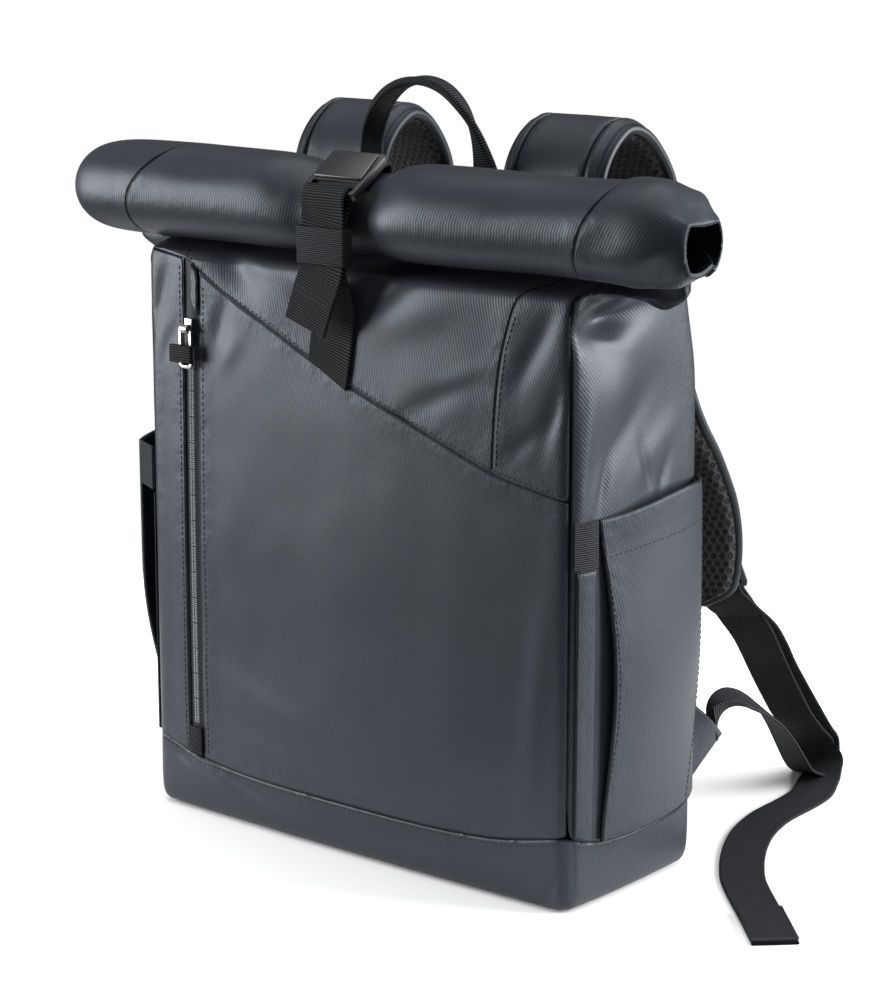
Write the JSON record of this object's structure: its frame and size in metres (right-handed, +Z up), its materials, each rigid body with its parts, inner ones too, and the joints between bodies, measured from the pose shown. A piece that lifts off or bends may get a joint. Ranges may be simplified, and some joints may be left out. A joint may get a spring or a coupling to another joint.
{
  "type": "rolltop backpack",
  "caption": "Rolltop backpack with a rolled and buckled mouth, a zipped front pocket, open side pockets, a grab handle and padded shoulder straps with loose webbing tails.",
  "frame": {"origin": "middle of the base's underside, where the bag rests", "axes": "+X to the wearer's right as seen from the front panel, +Y from the front panel towards the shoulder straps, +Z up"},
  "size_m": [0.473, 0.318, 0.4265],
  "materials": {
    "cloth": "satin coated twill, dark slate grey",
    "padding": "satin coated twill over foam, black spacer mesh on the inner face",
    "webbing": "ribbed black webbing",
    "elastic": "matte black elastic",
    "zip": "coated zip tape, dark grey",
    "plastic": "matte black moulding",
    "steel": "bright nickel"
  },
  "bodies": {
    "bag": {"base_panel": "cloth", "front_panel_left": "cloth", "front_panel_main": "cloth", "front_upper_panel": "cloth", "front_upper_side_panel": "cloth", "back_extension": "cloth", "roll_top": "cloth", "zip_garage": "cloth", "back_panel": "padding", "zip_end_tab": "webbing", "closure_webbing_lower": "webbing", "closure_webbing_upper": "webbing", "grab_handle": "webbing", "strap_keeper": "elastic", "buckle_frame": "plastic", "zip_tape": "zip", "zip_slider": "steel", "side_panel_right": "cloth", "side_pocket_right": "cloth", "pocket_pleat_right": "cloth", "pocket_elastic_right": "elastic", "roll_end_right": "cloth", "shoulder_strap_right": "padding", "strap_webbing_right": "webbing", "strap_tail_hem_right": "webbing", "tri_glide_right": "plastic", "anchor_tab_right": "cloth", "side_panel_left": "cloth", "side_pocket_left": "cloth", "pocket_pleat_left": "cloth", "pocket_elastic_left": "elastic", "roll_end_left": "cloth", "shoulder_strap_left": "padding", "strap_webbing_left": "webbing", "strap_tail_hem_left": "webbing", "tri_glide_left": "plastic", "anchor_tab_left": "cloth"},
    "zip_pull": {"zip_pull": "steel", "zip_pull_tab": "webbing"}
  },
  "joints": [
    {"name": "zip_pull_swing", "type": "hinge", "parent": "bag", "child": "zip_pull", "pos_m": [-0.115, -0.06299, 0.28571], "axis": [-1, 0, 0], "range_deg": [0, 150]}
  ]
}
